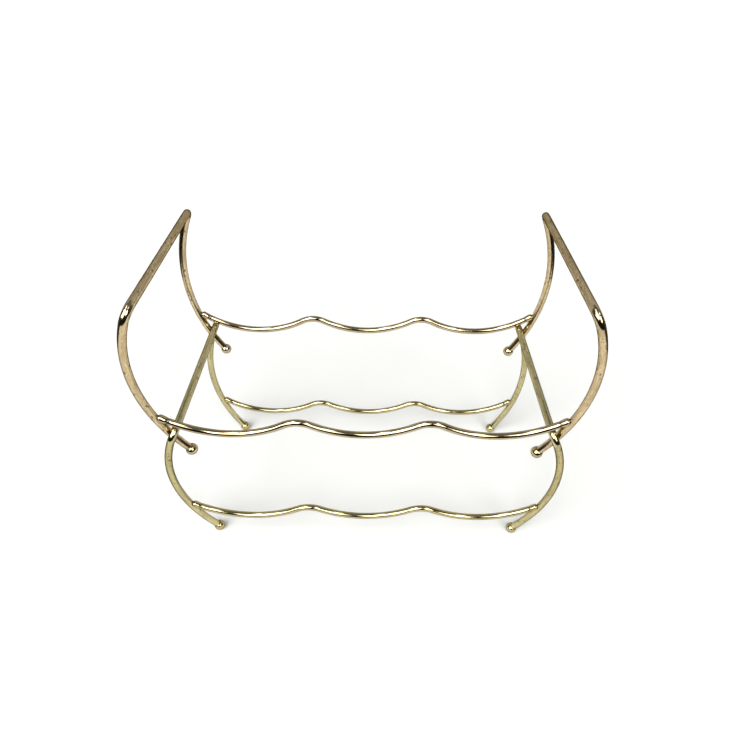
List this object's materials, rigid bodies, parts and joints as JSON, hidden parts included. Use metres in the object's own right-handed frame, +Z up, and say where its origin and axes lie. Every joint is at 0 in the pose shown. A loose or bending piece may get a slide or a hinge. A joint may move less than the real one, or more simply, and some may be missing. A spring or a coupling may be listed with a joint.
{
  "type": "wine rack",
  "caption": "Stackable wine rack of bent round wire: scalloped cradle wires between bowed side frames with ball feet, the upper tier hooked onto the lower.",
  "frame": {"origin": "on the floor, at the middle of the rack", "axes": "+Z up, X across the rack from side to side, Y from front to rear, along the bottles"},
  "size_m": [0.3334, 0.1504, 0.2649],
  "materials": {
    "frame_wire": "polished champagne-gold plating with faint brown specks",
    "cradle_wire": "bright polished champagne-gold plating",
    "ball_foot": "bright polished champagne-gold plating"
  },
  "bodies": {
    "lower_cradles": {"lower_front_cradle_wire": "cradle_wire", "lower_rear_cradle_wire": "cradle_wire"},
    "lower_left_frame": {"lower_left_side_frame": "frame_wire", "lower_front_left_ball_foot": "ball_foot", "lower_rear_left_ball_foot": "ball_foot"},
    "lower_right_frame": {"lower_right_side_frame": "frame_wire", "lower_front_right_ball_foot": "ball_foot", "lower_rear_right_ball_foot": "ball_foot"},
    "upper_tier": {"upper_left_side_frame": "frame_wire", "upper_right_side_frame": "frame_wire", "upper_front_cradle_wire": "cradle_wire", "upper_front_left_ball_foot": "ball_foot", "upper_front_right_ball_foot": "ball_foot", "upper_rear_cradle_wire": "cradle_wire", "upper_rear_left_ball_foot": "ball_foot", "upper_rear_right_ball_foot": "ball_foot"}
  },
  "joints": [
    {"name": "upper_tier_lift", "type": "slide", "parent": "lower_cradles", "child": "upper_tier", "axis": [0, 0, 1], "range_m": [0, 0.03]},
    {"name": "lower_left_frame_flex", "type": "hinge", "parent": "lower_cradles", "child": "lower_left_frame", "pos_m": [-0.1583, 0, 0.0541], "axis": [0, 1, 0], "range_deg": [0, 12.1]},
    {"name": "lower_right_frame_flex", "type": "hinge", "parent": "lower_cradles", "child": "lower_right_frame", "pos_m": [0.1583, 0, 0.0541], "axis": [0, -1, 0], "range_deg": [0, 12.1]}
  ],
  "couplings": [
    {"joint": "lower_left_frame_flex", "follows": "upper_tier_lift", "rad_per_m": 7},
    {"joint": "lower_right_frame_flex", "follows": "upper_tier_lift", "rad_per_m": 7}
  ]
}
